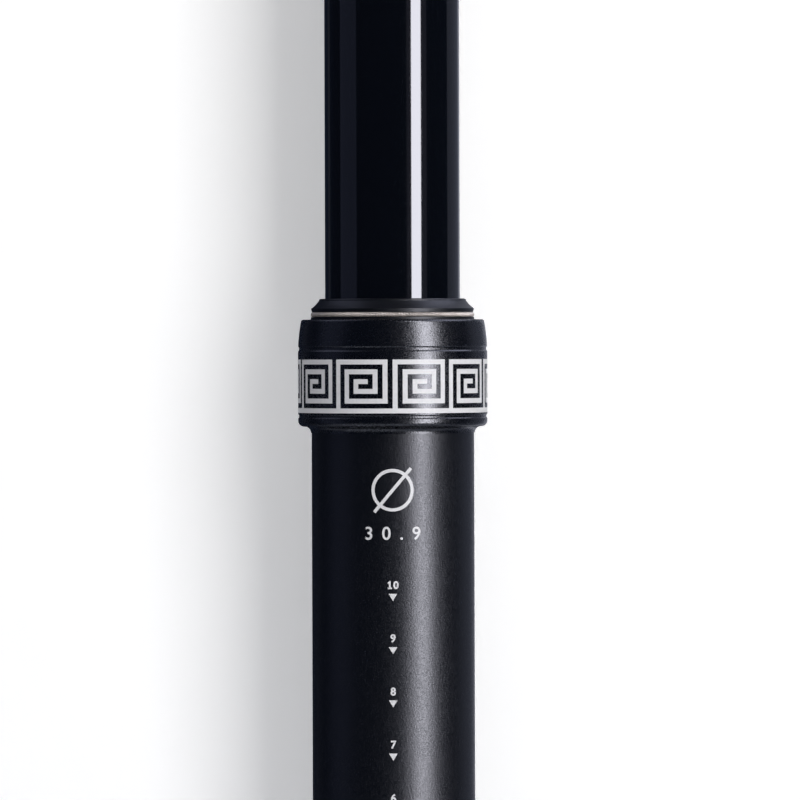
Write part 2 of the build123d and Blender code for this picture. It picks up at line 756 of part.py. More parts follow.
with BuildPart() as piston_nut:
    with BuildSketch(Plane.XY.offset(nut_foot_z)):
        RegularPolygon(rod_thread_r + piston_nut_wall, 6, major_radius=False)
        Circle(rod_thread_r + seat_gap, mode=Mode.SUBTRACT)
    extrude(amount=piston_nut_height - seat_gap)
piston_nut.part.label = "piston_nut"
export_step(piston_nut.part, "parts/piston_nut.step")

# A soft bumper rides on the rod and meets the rod guide at full height.
with BuildPart() as top_out_bumper:
    with BuildSketch(Plane.XY.offset(piston_top_z + seat_gap)):
        Circle(piston_r - seat_gap)
        Circle(rod_r + seat_gap, mode=Mode.SUBTRACT)
    extrude(amount=top_out_height)
    fillet(top_out_bumper.edges().group_by(Axis.Z)[-1], end_chamfer)
top_out_bumper.part.label = "top_out_bumper"
export_step(top_out_bumper.part, "parts/top_out_bumper.step")

# The cartridge's two tubes stand one in the other on the valve block.
with BuildPart() as cartridge_outer_tube:
    with BuildSketch(Plane.XY.offset(housing_top_z)):
        Circle(outer_r)
        Circle(outer_bore_r, mode=Mode.SUBTRACT)
    extrude(amount=cartridge_top_z - housing_top_z)
    chamfer(cartridge_outer_tube.faces().sort_by(Axis.Z)[-1].outer_wire().edges(), end_chamfer)
cartridge_outer_tube.part.label = "cartridge_outer_tube"
export_step(cartridge_outer_tube.part, "parts/cartridge_outer_tube.step")

with BuildPart() as cartridge_inner_tube:
    with BuildSketch(Plane.XY.offset(inner_foot_z + seat_gap)):
        Circle(inner_outer_r)
        Circle(inner_bore_r, mode=Mode.SUBTRACT)
    extrude(amount=inner_top_z - inner_foot_z - 2 * seat_gap)
    for port in range(port_count // 2):
        with BuildSketch(Plane.YZ.rotated((0, 0, 360 * port / port_count)).offset(-outer_r)):
            with Locations((0, guide_foot_z - port_drop)):
                Circle(port_r)
        extrude(amount=2 * outer_r, mode=Mode.SUBTRACT)
cartridge_inner_tube.part.label = "cartridge_inner_tube"
export_step(cartridge_inner_tube.part, "parts/cartridge_inner_tube.step")

# The rod guide closes both tubes at the top, with a ring in a groove round it.
guide_ring_z = inner_top_z + guide_height / 2
with BuildPart() as rod_guide:
    with BuildSketch(Plane.XY.offset(guide_foot_z)):
        Circle(inner_bore_r - seat_gap)
    extrude(amount=guide_spigot)
    with BuildSketch(Plane.XY.offset(inner_top_z)):
        Circle(outer_bore_r - seat_gap)
    extrude(amount=guide_height - seat_gap)
    with BuildSketch(Plane.XY.offset(guide_foot_z - cut_over)):
        Circle(rod_r + run_gap)
    extrude(amount=guide_height + guide_spigot + 2 * cut_over, mode=Mode.SUBTRACT)
    with BuildSketch(Plane.XY.offset(guide_ring_z - ring_section_r - seat_gap)):
        Circle(outer_bore_r)
        Circle(outer_bore_r - 2 * ring_section_r - 2 * seat_gap, mode=Mode.SUBTRACT)
    extrude(amount=2 * (ring_section_r + seat_gap), mode=Mode.SUBTRACT)
rod_guide.part.label = "rod_guide"
export_step(rod_guide.part, "parts/rod_guide.step")

with BuildPart() as guide_ring:
    with BuildSketch(Plane.XZ):
        with Locations((outer_bore_r - ring_section_r - seat_gap, guide_ring_z)):
            Circle(ring_section_r)
    revolve(axis=Axis.Z)
guide_ring.part.label = "guide_ring"
export_step(guide_ring.part, "parts/guide_ring.step")

# The rod seal is a cup seal that opens towards the gas.
with BuildPart() as rod_seal:
    seal_middle_r = (rod_r + outer_bore_r) / 2
    with BuildSketch(Plane.XZ):
        with BuildLine():
            Polyline(
                (rod_r + run_gap, guide_top_z),
                (seal_middle_r - seal_vee / 2, guide_top_z),
                (seal_middle_r, guide_top_z + seal_vee),
                (seal_middle_r + seal_vee / 2, guide_top_z),
                (outer_bore_r - seat_gap, guide_top_z),
                (outer_bore_r - seat_gap, cap_foot_z - seat_gap),
                (rod_r + run_gap, cap_foot_z - seat_gap),
                close=True,
            )
        make_face()
    revolve(axis=Axis.Z)
rod_seal.part.label = "rod_seal"
export_step(rod_seal.part, "parts/rod_seal.step")

with BuildPart() as cartridge_cap:
    with BuildSketch(Plane.XY.offset(cap_foot_z)):
        Circle(outer_bore_r - seat_gap)
        Circle(rod_r + web_gap, mode=Mode.SUBTRACT)
    extrude(amount=cap_height)
cartridge_cap.part.label = "cartridge_cap"
export_step(cartridge_cap.part, "parts/cartridge_cap.step")

# The valve block closes the cartridge's foot and screws into the housing. Cross
# ports join the gap between the tubes to the gallery round the release pin.
block_ring_z = (gallery_foot_z + housing_top_z) / 2
with BuildPart() as valve_block:
    with BuildSketch(Plane.XZ):
        with BuildLine():
            Polyline(
                (pin_r + run_gap, housing_top_z - stem_length),
                (stem_r, housing_top_z - stem_length),
                (stem_r, housing_top_z),
                (outer_bore_r - seat_gap, housing_top_z),
                (outer_bore_r - seat_gap, gallery_foot_z),
                (inner_outer_r - gallery, gallery_foot_z),
                (inner_outer_r - gallery, inner_foot_z - gallery),
                (inner_outer_r, inner_foot_z),
                (inner_bore_r - seat_gap, inner_foot_z),
                (inner_bore_r - seat_gap, block_top_z),
                (block_gallery_r, block_top_z),
                (block_gallery_r, gallery_foot_z),
                (pin_r + run_gap, gallery_foot_z),
                close=True,
            )
        make_face()
    revolve(axis=Axis.Z)
    for port in range(port_count // 2):
        with BuildSketch(Plane.YZ.rotated((0, 0, 360 * port / port_count)).offset(-outer_r)):
            with Locations((0, gallery_foot_z + port_r + 2 * seat_gap)):
                Circle(port_r)
        extrude(amount=2 * outer_r, mode=Mode.SUBTRACT)
    with BuildSketch(Plane.XY.offset(block_ring_z - ring_section_r - seat_gap)):
        Circle(outer_bore_r)
        Circle(outer_bore_r - 2 * ring_section_r - 2 * seat_gap, mode=Mode.SUBTRACT)
    extrude(amount=2 * (ring_section_r + seat_gap), mode=Mode.SUBTRACT)
    with BuildSketch(Plane.XY.offset(block_ring_z - ring_section_r - seat_gap)):
        Circle(pin_r + 2 * ring_section_r + 2 * seat_gap)
        Circle(pin_r, mode=Mode.SUBTRACT)
    extrude(amount=2 * (ring_section_r + seat_gap), mode=Mode.SUBTRACT)
valve_block.part.label = "valve_block"
export_step(valve_block.part, "parts/valve_block.step")

for ring_name, ring_r in (
    ("block_ring", outer_bore_r - ring_section_r - seat_gap),
    ("pin_ring", pin_r + ring_section_r + seat_gap),
):
    with BuildPart() as sealing_ring:
        with BuildSketch(Plane.XZ):
            with Locations((ring_r, block_ring_z)):
                Circle(ring_section_r)
        revolve(axis=Axis.Z)
    sealing_ring.part.label = ring_name
    export_step(sealing_ring.part, f"parts/{ring_name}.step")

# The release pin is pushed up by the lever and lifts the poppet off its seat.
with BuildPart() as release_pin:
    with BuildSketch(Plane.XY.offset(pin_foot_z)):
        Circle(pin_r)
    extrude(amount=block_top_z - pin_foot_z)
    with BuildSketch(Plane.XY.offset(block_top_z + seat_gap)):
        Circle(poppet_r)
    extrude(amount=poppet_height - seat_gap)
    with BuildSketch(Plane.XY.offset(block_top_z)):
        Circle(pin_r)
    extrude(amount=poppet_height / 2)
    chamfer(release_pin.faces().sort_by(Axis.Z)[0].edges(), end_chamfer)
release_pin.part.label = "release_pin"
export_step(release_pin.part, "parts/release_pin.step")

# The bottom bumper lies on the housing and meets the stanchion's foot.
with BuildPart() as bottom_bumper:
    with BuildSketch(Plane.XY.offset(housing_top_z)):
        Circle(bore_r - 2 * seat_gap)
        Circle(bore_r - 2 * seat_gap - bumper_wall, mode=Mode.SUBTRACT)
    extrude(amount=bumper_height)
    fillet(bottom_bumper.edges().group_by(Axis.Z)[-1], end_chamfer)
bottom_bumper.part.label = "bottom_bumper"
export_step(bottom_bumper.part, "parts/bottom_bumper.step")

# The actuator housing screws into the foot of the lower tube. The lever swings in
# its window, and the cable's outer ends in a socket in its floor.
cavity_half_width = lever_half_width + lever_side_gap
with BuildPart() as actuator_housing:
    with BuildSketch(Plane.XY.offset(tube_foot_z)):
        Circle(bore_r - seat_gap)
    extrude(amount=housing_thread)
    with BuildSketch(Plane.XY.offset(tube_foot_z - flange_height)):
        Circle(flange_r)
    extrude(amount=flange_height)
    with BuildSketch(Plane.XY.offset(housing_foot_z)):
        Circle(fork_r)
    extrude(amount=tube_foot_z - flange_height - housing_foot_z)
    chamfer(actuator_housing.faces().sort_by(Axis.Z)[0].edges(), fork_edge)
    with BuildSketch(Plane.XY.offset(cavity_floor_z)):
        with Locations((0, (cavity_back - flange_r - cut_over) / 2)):
            Rectangle(2 * cavity_half_width, cavity_back + flange_r + cut_over)
    extrude(amount=cavity_height, mode=Mode.SUBTRACT)
    with BuildSketch(Plane.XY.offset(housing_top_z - stem_length - seat_gap)):
        Circle(stem_r + seat_gap)
    extrude(amount=stem_length + cut_over, mode=Mode.SUBTRACT)
    with BuildSketch(Plane.XY.offset(cavity_top_z - cut_over)):
        Circle(pin_r + web_gap)
    extrude(amount=housing_thread, mode=Mode.SUBTRACT)
    with BuildSketch(Plane.YZ.offset(-fork_r - cut_over)):
        with Locations((pivot_y, pivot_z)):
            Circle(pivot_r + seat_gap)
    extrude(amount=2 * (fork_r + cut_over), mode=Mode.SUBTRACT)
    with BuildSketch(Plane.XY.offset(housing_foot_z)):
        with Locations((0, anchor_y)):
            Circle(cable_socket_r)
    extrude(amount=cable_socket_depth, mode=Mode.SUBTRACT)
    with BuildSketch(Plane.XY.offset(housing_foot_z)):
        with Locations((0, anchor_y)):
            Circle(cable_exit_r)
    extrude(amount=floor_height + cut_over, mode=Mode.SUBTRACT)
actuator_housing.part.label = "actuator_housing"
export_step(actuator_housing.part, "parts/actuator_housing.step")

with BuildPart() as lever_pin:
    with BuildSketch(Plane.YZ.offset(-pivot_half_length)):
        with Locations((pivot_y, pivot_z)):
            Circle(pivot_r)
    extrude(amount=2 * pivot_half_length)
lever_pin.part.label = "lever_pin"
export_step(lever_pin.part, "parts/lever_pin.step")

# The actuator lever turns on its pin. Its raised nose pushes the release pin, and
# the forked end holds the cable anchor.
with BuildPart() as actuator_lever:
    with BuildSketch(Plane.YZ.offset(-lever_half_width)):
        with Locations((pivot_y, pivot_z)):
            Circle(lever_hub_r)
        with Locations((pivot_y + nose_arm, pivot_z + nose_rise)):
            Circle(nose_tip_r)
        make_hull()
    extrude(amount=2 * lever_half_width)
    with BuildSketch(Plane.YZ.offset(-lever_half_width)):
        with Locations((pivot_y, pivot_z)):
            Circle(lever_hub_r)
        with Locations((anchor_y, pivot_z)):
            Circle(anchor_boss_r)
        make_hull()
    extrude(amount=2 * lever_half_width)
    with BuildSketch(Plane.YZ.offset(-lever_half_width - cut_over)):
        with Locations((pivot_y, pivot_z)):
            Circle(pivot_r + run_gap)
        with Locations((anchor_y, pivot_z)):
            Circle(anchor_r + run_gap)
    extrude(amount=2 * (lever_half_width + cut_over), mode=Mode.SUBTRACT)
    slot_inner_y = anchor_y + anchor_r
    slot_outer_y = anchor_y - anchor_boss_r - cut_over
    with BuildSketch(Plane.XY.offset(pivot_z - anchor_boss_r - cut_over)):
        with Locations((0, (slot_inner_y + slot_outer_y) / 2)):
            Rectangle(2 * anchor_slot_half, slot_inner_y - slot_outer_y)
    extrude(amount=2 * (anchor_boss_r + cut_over), mode=Mode.SUBTRACT)
actuator_lever.part.label = "actuator_lever"
export_step(actuator_lever.part, "parts/actuator_lever.step")

# The cable anchor is a small barrel with a hole for the wire and a grub screw.
with BuildPart() as cable_anchor:
    with BuildSketch(Plane.YZ.offset(-anchor_half_length)):
        with Locations((anchor_y, pivot_z)):
            Circle(anchor_r)
    extrude(amount=2 * anchor_half_length)
    with BuildSketch(Plane.XY.offset(pivot_z - anchor_r - cut_over)):
        with Locations((0, anchor_y)):
            Circle(wire_hole_r)
    extrude(amount=2 * (anchor_r + cut_over), mode=Mode.SUBTRACT)
    with BuildSketch(Plane.XZ.offset(-anchor_y)):
        with Locations((0, pivot_z)):
            Circle(anchor_screw_r + seat_gap)
    extrude(amount=anchor_r + cut_over, mode=Mode.SUBTRACT)
cable_anchor.part.label = "cable_anchor"
export_step(cable_anchor.part, "parts/cable_anchor.step")

anchor_screw_length = anchor_r + anchor_screw_stand - wire_hole_r
with BuildPart() as anchor_screw:
    with BuildSketch(Plane.XZ.offset(wire_hole_r - anchor_y)):
        with Locations((0, pivot_z)):
            Circle(anchor_screw_r)
    extrude(amount=anchor_screw_length)
    with BuildSketch(Plane.XZ.offset(anchor_r + anchor_screw_stand - anchor_y)):
        with Locations((0, pivot_z)):
            RegularPolygon(anchor_screw_r / 2, 6)
    extrude(amount=-anchor_screw_length / 2, mode=Mode.SUBTRACT)
anchor_screw.part.label = "anchor_screw"
export_step(anchor_screw.part, "parts/anchor_screw.step")

print("rail centre height", round(rail_z, 2), "mm, foot of the housing", round(housing_foot_z, 2), "mm")
print("valve block height above the housing", round(block_top_z - housing_top_z, 2), "mm")
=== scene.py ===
import math

import bpy
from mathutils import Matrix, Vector


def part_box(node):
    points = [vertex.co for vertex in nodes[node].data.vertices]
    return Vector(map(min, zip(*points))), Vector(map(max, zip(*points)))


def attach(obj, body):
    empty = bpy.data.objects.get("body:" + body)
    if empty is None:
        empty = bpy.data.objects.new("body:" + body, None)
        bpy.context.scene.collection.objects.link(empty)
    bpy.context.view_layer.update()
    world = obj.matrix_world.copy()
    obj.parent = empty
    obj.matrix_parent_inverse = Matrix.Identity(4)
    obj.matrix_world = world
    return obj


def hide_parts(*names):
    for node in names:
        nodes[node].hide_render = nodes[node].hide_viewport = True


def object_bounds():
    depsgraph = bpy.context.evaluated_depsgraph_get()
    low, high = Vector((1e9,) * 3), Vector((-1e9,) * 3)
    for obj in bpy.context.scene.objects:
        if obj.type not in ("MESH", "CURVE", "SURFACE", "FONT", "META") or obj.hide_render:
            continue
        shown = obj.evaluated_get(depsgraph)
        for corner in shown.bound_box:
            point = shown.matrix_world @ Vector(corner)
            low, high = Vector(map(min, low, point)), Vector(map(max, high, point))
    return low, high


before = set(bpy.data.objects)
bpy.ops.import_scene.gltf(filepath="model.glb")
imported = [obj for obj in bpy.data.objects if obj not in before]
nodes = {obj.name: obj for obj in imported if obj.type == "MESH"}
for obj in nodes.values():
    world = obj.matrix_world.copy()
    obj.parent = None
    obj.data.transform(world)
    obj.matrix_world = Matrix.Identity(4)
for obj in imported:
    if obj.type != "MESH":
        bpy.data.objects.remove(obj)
cad_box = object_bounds()

# The camera.
# A long lens looks at the middle of the post from 1.2 m, dipped by half a degree, so the
# collar sits a little above the picture's centre, and rolled so the post leans a hair.
MM = 0.001
picture_focal_px = 6311.0
picture_width_px = 800.0
sensor_mm = 36.0
camera_aside_mm = 1.41
camera_distance = 1.2
camera_height_mm = 17.6
camera_dip_degrees = 0.545
camera_roll_degrees = 0.18
camera_data = bpy.data.cameras.new("camera")
camera_data.sensor_width = sensor_mm
camera_data.lens = picture_focal_px * sensor_mm / picture_width_px
camera_data.clip_start = 0.05
camera_data.clip_end = 20.0
camera = bpy.data.objects.new("camera", camera_data)
bpy.context.scene.collection.objects.link(camera)
camera.location = (camera_aside_mm * MM, -camera_distance, camera_height_mm * MM)
camera.rotation_mode = "XYZ"
camera.rotation_euler = (
    math.radians(90 - camera_dip_degrees), math.radians(camera_roll_degrees), 0.0)
bpy.context.scene.camera = camera
bpy.context.scene.view_settings.view_transform = "Standard"
bpy.context.scene.view_settings.look = "None"


# The stage.
# A pale matt floor with a cool white paper on it, and a pale matt card close behind the post
# for its soft shadow. The card is clear from behind, so the post's back can be seen too.
def tint(code):
    """A colour from its sRGB hex value, in linear light."""
    shades = [int(code[at:at + 2], 16) / 255 for at in (1, 3, 5)]
    return [s / 12.92 if s <= 0.04045 else ((s + 0.055) / 1.055) ** 2.4 for s in shades] + [1.0]


def put(tree, kind, inputs=(), **settings):
    """Adds a node, sets its settings and fills or links its inputs."""
    made = tree.nodes.new(kind)
    for name, value in settings.items():
        setattr(made, name, value)
    for name, value in dict(inputs).items():
        if isinstance(value, bpy.types.NodeSocket):
            tree.links.new(value, made.inputs[name])
        else:
            made.inputs[name].default_value = value
    return made


def begin_finish(name):
    """An empty material and its node tree; the caller adds the nodes."""
    finish = bpy.data.materials.new(name)
    finish.use_nodes = True
    finish.node_tree.nodes.clear()
    return finish, finish.node_tree


def end_finish(tree, shader):
    """Joins the shader to the material's output."""
    put(tree, "ShaderNodeOutputMaterial", {"Surface": shader.outputs[0]})


def shape(name, points, faces, smooth=True):
    """A mesh object at the origin from points in metres."""
    mesh = bpy.data.meshes.new(name)
    mesh.from_pydata(points, [], faces)
    mesh.validate()
    mesh.update()
    mesh.polygons.foreach_set("use_smooth", [smooth] * len(mesh.polygons))
    made = bpy.data.objects.new(name, mesh)
    bpy.context.scene.collection.objects.link(made)
    return made


def stage_piece(name, corners, finish):
    """One flat piece of the stage from its four corners in metres."""
    made = shape(name, corners, [(0, 1, 2, 3)], smooth=False)
    made.data.materials.append(finish)
    return made


def laid_square(half, height):
    """The corners of a level square round the post's axis."""
    return [(-half, -half, height), (half, -half, height),
            (half, half, height), (-half, half, height)]


floor_gap_mm = 0.1
floor_half = 2.5
paper_half = 0.28
paper_lift_mm = 0.05
card_gap_mm = 3
card_half_width = 0.30
card_top = 0.34
card_glow = 0.355
floor_z = cad_box[0].z - floor_gap_mm * MM
card_y = cad_box[1].y + card_gap_mm * MM
# White card that glows faintly, as if lit from behind: an even white without any gloss.
matt_card, tree = begin_finish("matt_white_card")
geometry = put(tree, "ShaderNodeNewGeometry")
white = put(tree, "ShaderNodeBsdfDiffuse", {"Color": tint("#F0EFEE")})
glow = put(tree, "ShaderNodeEmission", {"Color": tint("#FFFFFF"), "Strength": card_glow})
lit = put(tree, "ShaderNodeAddShader", {0: white.outputs[0], 1: glow.outputs[0]})
clear = put(tree, "ShaderNodeBsdfTransparent")
seen = put(tree, "ShaderNodeMixShader", {
    0: geometry.outputs["Backfacing"], 1: lit.outputs[0], 2: clear.outputs[0]})
end_finish(tree, seen)
card = stage_piece("card", [
    (-card_half_width, card_y, floor_z), (card_half_width, card_y, floor_z),
    (card_half_width, card_y, card_top), (-card_half_width, card_y, card_top)], matt_card)
card.visible_shadow = False
card.visible_glossy = False
# Painted board: a pale warm grey without any gloss.
matt_floor, tree = begin_finish("matt_pale_floor")
end_finish(tree, put(tree, "ShaderNodeBsdfDiffuse", {"Color": tint("#E9E8E6")}))
floor = stage_piece("floor", laid_square(floor_half, floor_z), matt_floor)
floor.visible_glossy = False
# Uncoated paper with a blue cast: it throws a faint cool light up at the post.
matt_sheet, tree = begin_finish("matt_cool_white_paper")
end_finish(tree, put(tree, "ShaderNodeBsdfDiffuse", {"Color": tint("#DCE2F2")}))
paper_z = floor_z + paper_lift_mm * MM
sheet = stage_piece("paper_sheet", laid_square(paper_half, paper_z), matt_sheet)

# The light.
# One tall narrow softbox at the right draws the bright line down the polished tube. Dim cool
# panels beside, above and behind draw its faint edges, and wide soft lights fill the card.
dome_side = (0.014, 0.019, 0.036, 1.0)
dome_top = (0.045, 0.050, 0.072, 1.0)
world = bpy.data.worlds.new("studio")
bpy.context.scene.world = world
world.use_nodes = True
tree = world.node_tree
tree.nodes.clear()
path = put(tree, "ShaderNodeLightPath")
direction = put(tree, "ShaderNodeTexCoord")
height = put(tree, "ShaderNodeSeparateXYZ", {0: direction.outputs["Generated"]})
overhead = put(tree, "ShaderNodeMapRange", {
    "Value": height.outputs["Z"], "From Min": 0.60, "From Max": 0.85})
dome = put(tree, "ShaderNodeMix", {
    0: overhead.outputs[0], 6: dome_side, 7: dome_top}, data_type="RGBA")
around = put(tree, "ShaderNodeBackground", {"Color": dome.outputs[2], "Strength": 1.0})
backdrop = put(tree, "ShaderNodeBackground", {"Color": tint("#FFFFFF"), "Strength": 1.0})
sky = put(tree, "ShaderNodeMixShader", {
    0: path.outputs["Is Camera Ray"], 1: around.outputs[0], 2: backdrop.outputs[0]})
put(tree, "ShaderNodeOutputWorld", {"Surface": sky.outputs[0]})


def softbox(name, azimuth, distance, height, size, radiance, colour,
            glossy=True, diffuse=True, aimed_at=None):
    """A rectangular light that faces the post's axis, level or aimed at a height.

    Azimuth is in degrees from the camera's side towards the right, and the lengths in metres.
    """
    data = bpy.data.lights.new(name, "AREA")
    data.shape = "RECTANGLE"
    data.size, data.size_y = size
    data.energy = radiance * math.pi * size[0] * size[1]
    data.color = tint(colour)[:3]
    made = bpy.data.objects.new(name, data)
    bpy.context.scene.collection.objects.link(made)
    turn = math.radians(azimuth)
    made.location = (distance * math.sin(turn), -distance * math.cos(turn), height)
    made.rotation_mode = "QUATERNION"
    target = Vector((0, 0, height if aimed_at is None else aimed_at))
    made.rotation_quaternion = (target - made.location).to_track_quat("-Z", "Y")
    made.visible_camera = False
    made.visible_glossy = glossy
    made.visible_diffuse = diffuse
    return made


tall = 1.7
upper_size = (0.8, 0.7)
softbox("strip_right", 41.6, 0.9, 0.0, (0.275, tall), 12.5, "#F4F4FF", diffuse=False)
softbox("upper_right", 105.0, 0.7, 0.8, upper_size, 2.3, "#E0E4FF", diffuse=False, aimed_at=0.0)
softbox("upper_left", -105.0, 0.7, 0.8, upper_size, 0.62, "#D6DCFF", diffuse=False, aimed_at=0.0)
softbox("panel_left", -81.0, 0.8, 0.0, (0.52, tall), 0.14, "#B9C2F0", diffuse=False)
softbox("halo_right", 43.0, 0.95, 0.0, (0.62, tall), 0.13, "#E6E4FF", diffuse=False)
softbox("panel_back_right", 139.0, 0.9, 0.0, (1.04, tall), 0.22, "#D2D8F0", diffuse=False)
softbox("rim_right", 163.0, 0.95, 0.0, (0.30, tall), 0.46, "#E8EAF4", diffuse=False)
softbox("panel_back_left", -137.0, 0.9, 0.0, (0.16, tall), 0.05, "#D8DAE8", diffuse=False)
softbox("soft_right", 28.0, 1.0, 0.1, (0.46, 1.2), 5.5, "#FFFFFF", glossy=False)
softbox("soft_front", -8.0, 1.2, 0.2, (1.2, 1.2), 0.66, "#FFFFFF", glossy=False)


# Lower tube and collar.
# Drawn 6000-series aluminium tube, turned at the ends, blasted with fine glass beads and
# anodised black: the dye leaves a near-black satin skin with a fine grain that glitters.
def place_of(tree, scale=(1.0, 1.0, 1.0)):
    """Object coordinates in metres, stretched per axis."""
    coordinates = put(tree, "ShaderNodeTexCoord")
    mapping = put(tree, "ShaderNodeMapping", {
        "Vector": coordinates.outputs["Object"], "Scale": scale})
    return mapping.outputs[0]


def scale_for(size_mm):
    """The texture scale that draws waves or cells of this many millimetres."""
    return 1 / (size_mm * MM)


# The facets are drawn coarser than real bead dents, so that they still show in the picture.
def blasted_anodise(name, dark, light, roughness, grain_mm, depth_mm,
                    glitter=0.03, facet_mm=0.16, ior=1.7):
    """Blasted aluminium under a black anodised skin: bead dents, faint clouds, uneven gloss."""
    finish, tree = begin_finish(name)
    at = place_of(tree)
    grain = put(tree, "ShaderNodeTexNoise", {
        "Vector": at, "Scale": scale_for(grain_mm), "Detail": 2.0, "Roughness": 0.6})
    cloud = put(tree, "ShaderNodeTexNoise", {"Vector": at, "Scale": scale_for(14), "Detail": 3.0})
    colour = put(tree, "ShaderNodeMix", {
        0: cloud.outputs["Fac"], 6: tint(dark), 7: tint(light)}, data_type="RGBA")
    bump = put(tree, "ShaderNodeBump", {
        "Height": grain.outputs["Fac"], "Strength": 1.0, "Distance": depth_mm * MM})
    crystals = put(tree, "ShaderNodeTexVoronoi", {"Vector": at, "Scale": scale_for(facet_mm)})
    facets = put(tree, "ShaderNodeTexWhiteNoise", {"Vector": crystals.outputs["Color"]})
    gloss = put(tree, "ShaderNodeMapRange", {
        "Value": facets.outputs["Value"],
        "To Min": roughness - glitter, "To Max": roughness + glitter})
    skin = put(tree, "ShaderNodeBsdfPrincipled", {
        "Base Color": colour.outputs[2], "Roughness": gloss.outputs[0],
        "Normal": bump.outputs[0], "IOR": ior, "Metallic": 0.0})
    end_finish(tree, skin)
    return finish


def dress(finish, *names):
    """Gives CAD nodes a finish in place of their plain one."""
    for name in names:
        mesh = nodes[name].data
        mesh.materials.clear()
        mesh.materials.append(finish)


satin_tube = blasted_anodise(
    "bead_blasted_black_anodised_aluminium", "#03050A", "#05070D",
    roughness=0.365, grain_mm=0.30, depth_mm=0.036, glitter=0.068, facet_mm=0.26, ior=1.63)
dress(satin_tube, "lower_tube")
satin_collar = blasted_anodise(
    "fine_blasted_black_anodised_aluminium", "#03050A", "#05070D",
    roughness=0.25, grain_mm=0.26, depth_mm=0.032, glitter=0.06)
dress(satin_collar, "collar")

# Printed depth scale on the tube.
# Pad-printed epoxy ink, plain white: numbers over small downward triangles every 10 mm, a
# plain diameter sign with the tube's size, and a row of ticks for the least insertion.
tube_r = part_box("lower_tube")[1].x
ink_lift = 0.02 * MM
print_aside_mm = -0.07
# Epoxy ink pressed on by a soft pad: a flat, clean white with a faint speckle and no shine.
printed_ink, tree = begin_finish("pad_printed_epoxy_ink")
at = place_of(tree)
specks = put(tree, "ShaderNodeTexNoise", {"Vector": at, "Scale": scale_for(0.35), "Detail": 3.0})
shade = put(tree, "ShaderNodeMix", {
    0: specks.outputs["Fac"], 6: tint("#D5D4D5"), 7: tint("#EAE9EA")}, data_type="RGBA")
rise = put(tree, "ShaderNodeBump", {
    "Height": specks.outputs["Fac"], "Strength": 0.5, "Distance": 0.01 * MM})
ink = put(tree, "ShaderNodeBsdfPrincipled", {
    "Base Color": shade.outputs[2], "Roughness": 0.55, "Normal": rise.outputs[0], "IOR": 1.5})
end_finish(tree, ink)


def wrap(made, radius):
    """Rolls a flat print, drawn in metres as (across, up), round the tube's front."""
    reach = radius + ink_lift
    for vertex in made.data.vertices:
        across, up, _ = vertex.co
        turn = (across + print_aside_mm * MM) / radius
        vertex.co = (reach * math.sin(turn), -reach * math.cos(turn), up)
    made.data.update()


def flat(spots_mm):
    """Points of a flat print in metres, from (across, up) in millimetres."""
    return [(across * MM, up * MM, 0) for across, up in spots_mm]


def flat_bar(left, low, right, high):
    """An upright rectangle, from its sides in millimetres, as mesh data in metres."""
    return flat([(left, low), (right, low), (right, high), (left, high)]), [(0, 1, 2, 3)]


def final_mesh(held):
    """An object's mesh with its text filled or its modifiers run."""
    bpy.context.view_layer.update()
    graph = bpy.context.evaluated_depsgraph_get()
    return bpy.data.meshes.new_from_object(held.evaluated_get(graph))


def flat_text(words, height_mm, weight_mm, spacing, middle_mm, aside_mm=0.0):
    """Lettering of a given capital height, centred across, as mesh data in metres."""
    capital_share = 0.70
    curve = bpy.data.curves.new("lettering", "FONT")
    curve.body = words
    curve.align_x = "CENTER"
    curve.align_y = "CENTER"
    curve.space_character = spacing
    curve.size = height_mm / capital_share
    curve.offset = weight_mm
    curve.resolution_u = 6
    held = bpy.data.objects.new("lettering", curve)
    bpy.context.scene.collection.objects.link(held)
    mesh = final_mesh(held)
    bpy.data.objects.remove(held)
    tops = [v.co.y for v in mesh.vertices]
    shift = (max(tops) + min(tops)) / 2
    return (flat((v.co.x + aside_mm, v.co.y - shift + middle_mm) for v in mesh.vertices),
            [tuple(p.vertices) for p in mesh.polygons])


def flat_one(height_mm, middle_mm, aside_mm):
    """The digit 1 with a flag and a foot, as mesh data in metres."""
    low, top = middle_mm - height_mm / 2, middle_mm + height_mm / 2
    stem, foot, rise = 0.17, 0.40, 0.30
    corners = [
        (-foot, low), (foot, low), (foot, low + rise), (stem, low + rise), (stem, top),
        (-stem / 2, top), (-foot, top - rise), (-foot, top - 2 * rise),
        (-stem, top - 1.5 * rise), (-stem, low + rise), (-foot, low + rise)]
    return flat((x + aside_mm, y) for x, y in corners), [tuple(range(len(corners)))]


def add_print(drawn, mark):
    """Adds one flat mark to a print that is being drawn; both are (points, faces)."""
    points, faces = drawn
    start = len(points)
    points.extend(mark[0])
    faces.extend(tuple(start + index for index in face) for face in mark[1])


# The numbers and their triangles.
marks = 10
first_tip_mm = -31.42
mark_pitch_mm = 10.0
triangle_half_mm = 0.80
triangle_height_mm = 1.35
digit_gap_mm = 0.95
digit_height_mm = 1.40
digit_weight_mm = 0.07
pair_half_mm = 0.58
scale_marks = ([], [])
for count in range(marks):
    tip = first_tip_mm - mark_pitch_mm * count
    shoulder = tip + triangle_height_mm
    triangle = flat([(-triangle_half_mm, shoulder), (0, tip), (triangle_half_mm, shoulder)])
    add_print(scale_marks, (triangle, [(0, 1, 2)]))
    middle = shoulder + digit_gap_mm + digit_height_mm / 2
    number = str(marks - count)
    aside = pair_half_mm if len(number) == 2 else 0.0
    if number[0] == "1":
        one_height_mm = digit_height_mm + 2 * digit_weight_mm
        add_print(scale_marks, flat_one(one_height_mm, middle, -aside))
    if number != "1":
        add_print(scale_marks, flat_text(
            number[-1], digit_height_mm, digit_weight_mm, 1.0, middle, aside))

